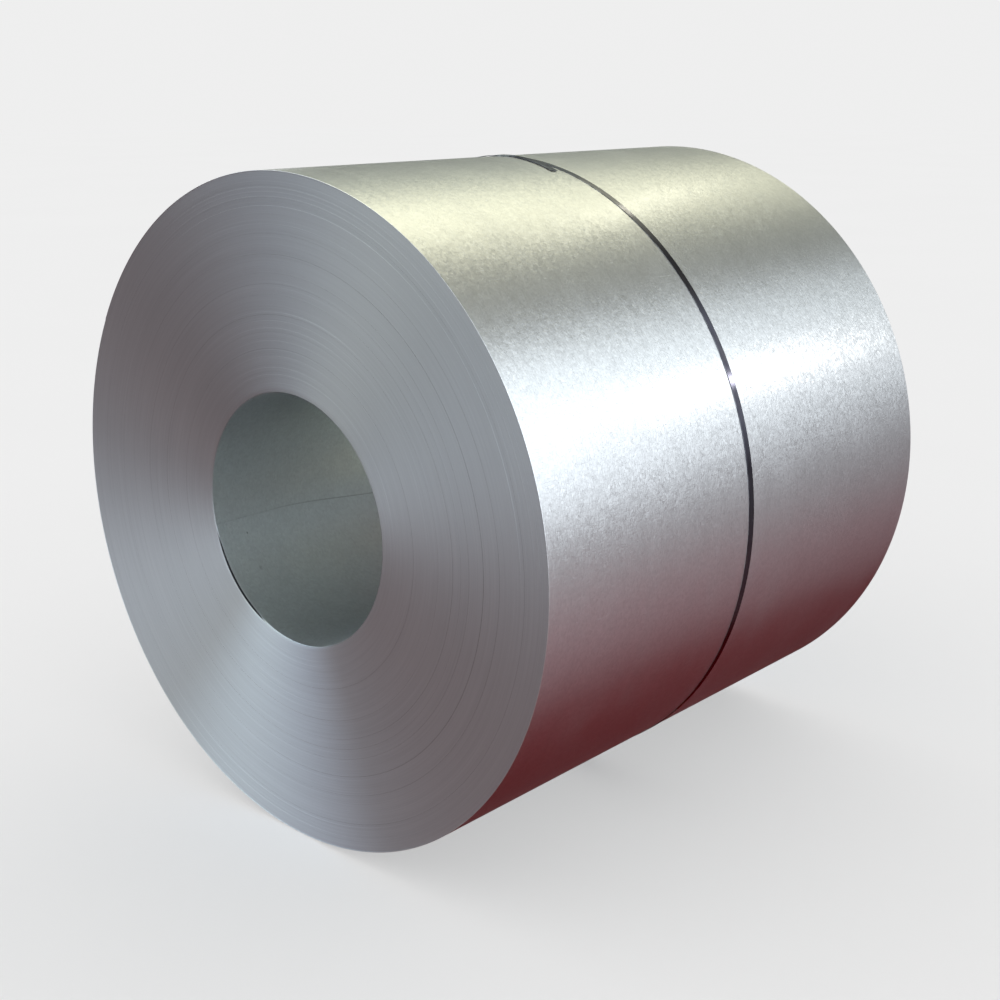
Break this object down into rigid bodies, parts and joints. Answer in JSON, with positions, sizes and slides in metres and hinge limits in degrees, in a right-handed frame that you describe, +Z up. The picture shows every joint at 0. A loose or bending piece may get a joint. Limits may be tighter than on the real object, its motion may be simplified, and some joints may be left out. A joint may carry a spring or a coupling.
{
  "type": "steel coil",
  "caption": "Heavy roll of galvanised steel strip lying on its side, wound round an open bore and held by a steel strap with a crimped seal.",
  "frame": {"origin": "middle of the coil's footprint on the floor, level with the underside of the strap", "axes": "+Z up; the coil's bore runs level along Y, and -Y points out of the seen end"},
  "size_m": [1.342, 1.2646, 1.3444],
  "materials": {
    "zinc_strip": "satin galvanised",
    "blued_strap": "blued",
    "seal_steel": "blued"
  },
  "bodies": {
    "root": {"coil": "zinc_strip", "strap": "blued_strap", "strap_seal": "seal_steel"}
  },
  "joints": []
}
